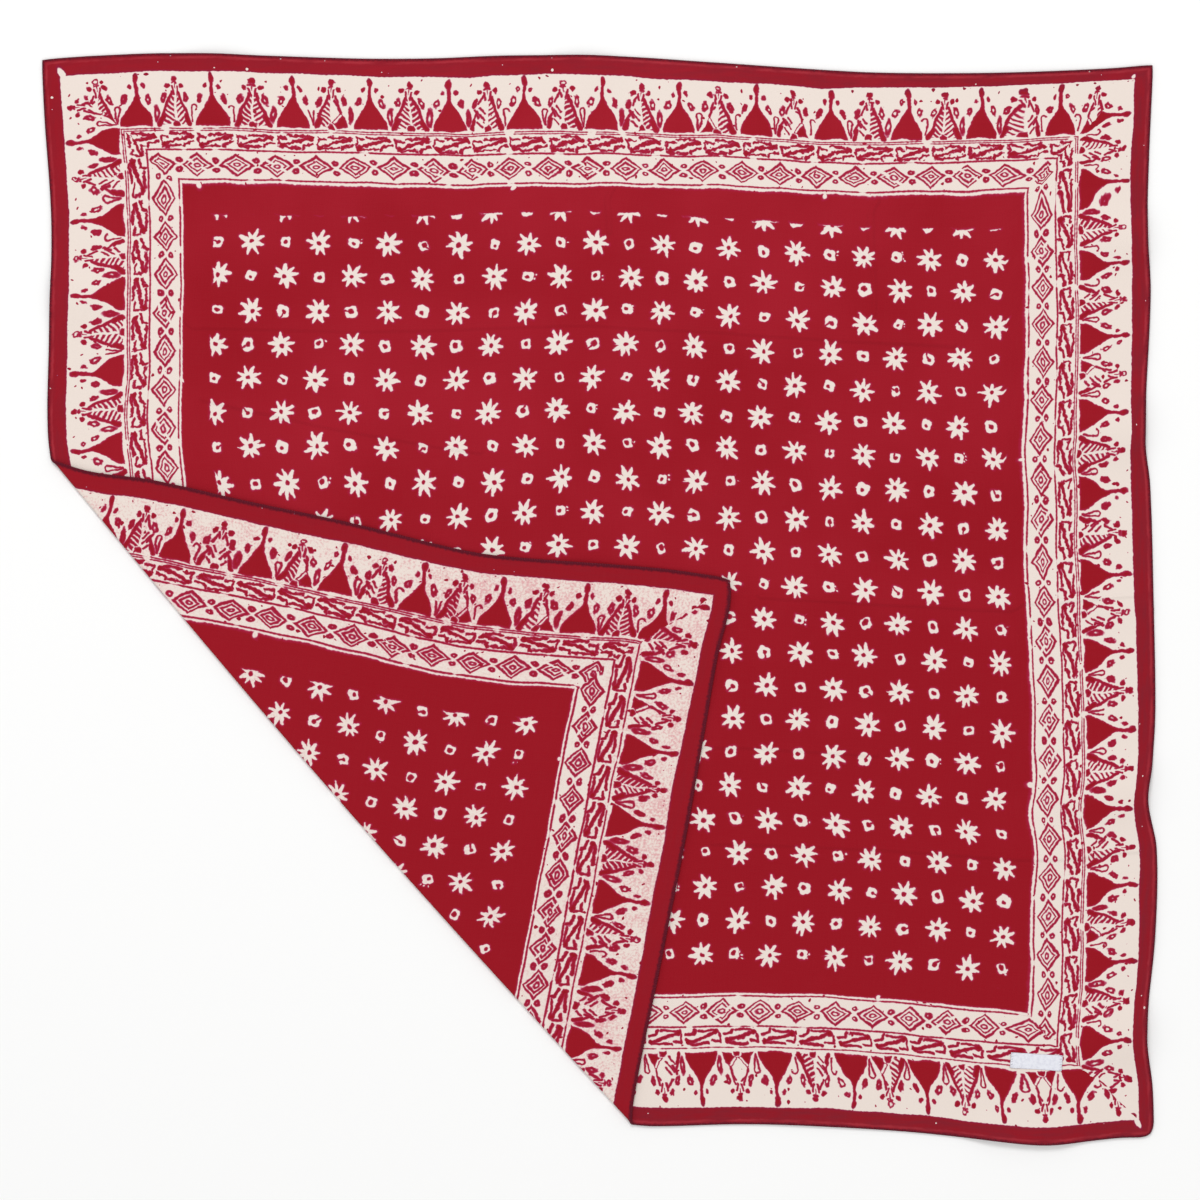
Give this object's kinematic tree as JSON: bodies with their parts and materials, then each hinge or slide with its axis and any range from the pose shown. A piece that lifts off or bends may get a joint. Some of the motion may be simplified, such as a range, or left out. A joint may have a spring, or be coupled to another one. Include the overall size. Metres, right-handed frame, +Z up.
{
  "type": "batik bandana",
  "caption": "Square printed cotton bandana lying face up, its lower left corner folded over onto the face, with a narrow turned hem and a small sewn label.",
  "frame": {"origin": "middle of the footprint, on the surface that the cloth lies on", "axes": "+Z up from the surface, +X to the right along the unfolded top side, +Y towards the top side"},
  "size_m": [0.5518, 0.54, 0.0045],
  "materials": {
    "cloth": "matt plain-weave cotton, wax-resist printed in deep red on cream",
    "label": "white woven ribbon with a soft sheen"
  },
  "bodies": {
    "root": {"cloth": "cloth", "label": "label"}
  },
  "joints": []
}
